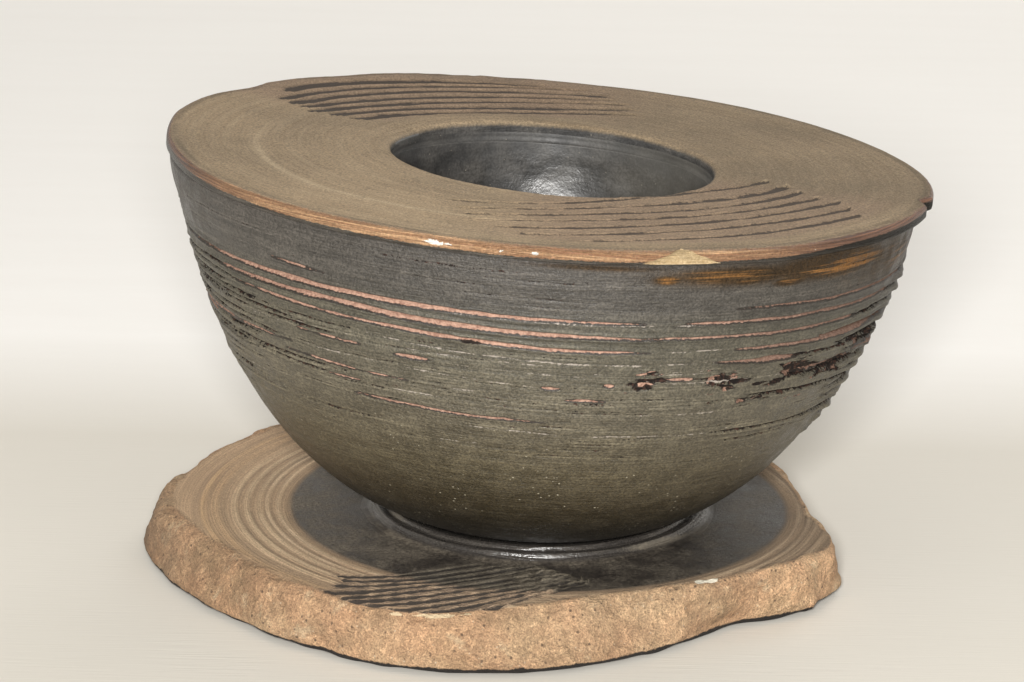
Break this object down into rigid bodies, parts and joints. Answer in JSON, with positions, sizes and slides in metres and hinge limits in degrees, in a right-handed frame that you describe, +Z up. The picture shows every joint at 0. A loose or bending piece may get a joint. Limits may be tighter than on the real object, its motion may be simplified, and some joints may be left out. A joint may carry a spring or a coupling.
{
  "type": "lidded clay pot on a slab",
  "caption": "Round-bottomed dark clay bowl closed by a flat disc with a round mouth and inner cup, resting in a raised ring on a rough-edged clay slab.",
  "frame": {"origin": "on the slab's flat underside, below the centre of its turned face and of the seat ring", "axes": "+Z up, -Y towards the front where the bowl's scored lines show best, +X to the right, the side the pot rolls to"},
  "size_m": [0.2527, 0.2448, 0.1463],
  "materials": {
    "grogged_clay": "rough, sandy, unglazed",
    "black_slip": "burnished, glossy",
    "olive_black_slip": "satin, brushed and scored",
    "taupe_clay": "matte, combed",
    "burnished_black": "burnished, glossy, brushed"
  },
  "bodies": {
    "slab": {"base_slab": "grogged_clay", "seat_ring": "black_slip"},
    "pot": {"bowl_shell": "olive_black_slip", "rim_disc": "taupe_clay", "inner_cup": "burnished_black"}
  },
  "joints": [
    {"name": "pot_lift", "type": "slide", "parent": "slab", "child": "pot", "axis": [0, 0, 1], "range_m": [0, 0.12]}
  ]
}
